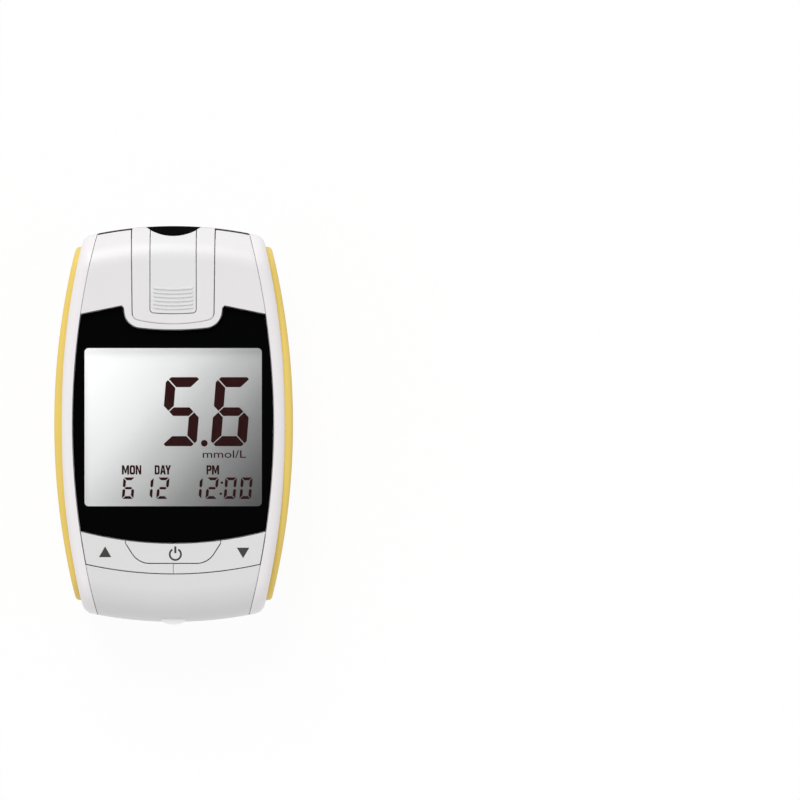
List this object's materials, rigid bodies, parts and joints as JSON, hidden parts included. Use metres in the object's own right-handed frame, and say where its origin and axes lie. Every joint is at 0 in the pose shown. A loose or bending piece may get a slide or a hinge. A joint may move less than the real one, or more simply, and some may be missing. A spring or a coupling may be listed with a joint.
{
  "type": "blood glucose meter",
  "caption": "Hand-held blood glucose meter with a large display window, keys, a strip port with a sliding ejector, soft side grips and a battery door.",
  "frame": {"origin": "on the resting surface, below the middle of the meter", "axes": "+Z out of the display, +Y towards the strip port, +X to the right of the display"},
  "size_m": [0.0576, 0.0966, 0.0263],
  "materials": {
    "white_shell": "satin moulded ABS",
    "white_face": "satin moulded ABS",
    "white_key": "fine matte moulded",
    "yellow_grip": "soft touch, slight sheen",
    "black_plastic": "moulded",
    "clear_lens": "clear polished acrylic",
    "black_print": "printed film",
    "foam_tape": "adhesive foam",
    "lcd_glass": "polarised glass",
    "white_frame": "moulded",
    "conductive_rubber": "layered silicone",
    "board": "solder-masked laminate",
    "chip_black": "moulded epoxy",
    "steel": "bright",
    "gold": "gold plated",
    "nickel": "nickel plated",
    "cell_wrap": "plastic-sleeved steel can",
    "screw_steel": "black zinc"
  },
  "bodies": {
    "meter": {"front_housing": "white_shell", "rear_housing": "white_shell", "left_side_grip": "yellow_grip", "right_side_grip": "yellow_grip", "top_panel": "white_face", "ejector_surround": "white_face", "bottom_panel": "white_face", "strip_port_bezel": "black_plastic", "display_lens": "clear_lens", "lens_mask": "black_print", "lens_tape": "foam_tape", "key_switches": "chip_black", "lcd_panel": "lcd_glass", "lcd_frame": "white_frame", "zebra_strips": "conductive_rubber", "main_pcb": "board", "circuit_chips": "chip_black", "quartz_crystal": "nickel", "buzzer": "steel", "strip_connector": "black_plastic", "strip_contacts": "gold", "ejector_springs": "steel", "data_jack": "black_plastic", "battery_cell_left": "cell_wrap", "battery_cell_right": "cell_wrap", "contact_bridge": "nickel", "contact_negative": "nickel", "contact_positive": "nickel", "battery_springs": "nickel", "housing_screws": "screw_steel"},
    "key_up_body": {"key_up": "white_key"},
    "key_power_body": {"key_power": "white_key"},
    "key_down_body": {"key_down": "white_key"},
    "ejector": {"ejector_slider": "white_face", "ejector_pusher": "black_plastic"},
    "door": {"battery_door": "white_shell"}
  },
  "joints": [
    {"name": "key_up_press", "type": "slide", "parent": "meter", "child": "key_up_body", "axis": [0, 0, -1], "range_m": [0, 0.0004], "stiffness_N_per_m": 3000},
    {"name": "key_power_press", "type": "slide", "parent": "meter", "child": "key_power_body", "axis": [0, 0, -1], "range_m": [0, 0.0004], "stiffness_N_per_m": 3000},
    {"name": "key_down_press", "type": "slide", "parent": "meter", "child": "key_down_body", "axis": [0, 0, -1], "range_m": [0, 0.0004], "stiffness_N_per_m": 3000},
    {"name": "ejector_slide", "type": "slide", "parent": "meter", "child": "ejector", "axis": [0, 1, 0], "range_m": [0, 0.004], "stiffness_N_per_m": 300, "deforming": ["ejector_springs"]},
    {"name": "battery_door_hinge", "type": "hinge", "parent": "meter", "child": "door", "pos_m": [0, 0.0232, 0.00015], "axis": [1, 0, 0], "range_deg": [0, 75]}
  ]
}
